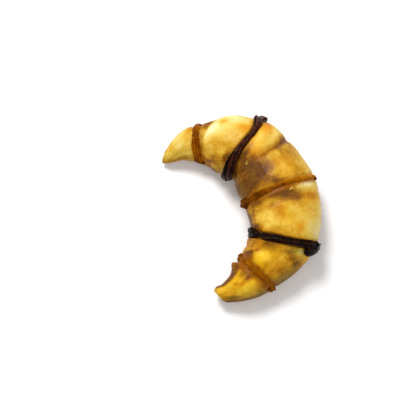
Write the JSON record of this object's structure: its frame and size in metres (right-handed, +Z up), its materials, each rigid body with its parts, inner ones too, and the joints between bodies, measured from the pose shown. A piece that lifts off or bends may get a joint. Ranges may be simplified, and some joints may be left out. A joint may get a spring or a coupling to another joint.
{
  "type": "croissant",
  "caption": "Crescent-shaped croissant with a glossy, mottled golden skin, wound with thin amber strips and thick dark ribbed strips, lying flat.",
  "frame": {"origin": "on the table under the middle of the roll's bounding box", "axes": "+Z up, away from the table, along the shortest extent; +Y along the longest extent, from the blunt lower horn to the pointed upper horn; +X towards the outer side of the bend"},
  "size_m": [0.0988, 0.1194, 0.0348],
  "materials": {
    "crust": "glossy, waxy, mottled pale cream to amber brown",
    "amber_strip": "satin, slightly see-through amber brown",
    "dark_strip": "satin, ribbed, nearly black brown"
  },
  "bodies": {
    "root": {"roll": "crust", "amber_strip_upper": "amber_strip", "dark_strip_upper": "dark_strip", "amber_strip_middle": "amber_strip", "dark_strip_lower": "dark_strip", "amber_strip_lower": "amber_strip"}
  },
  "joints": []
}
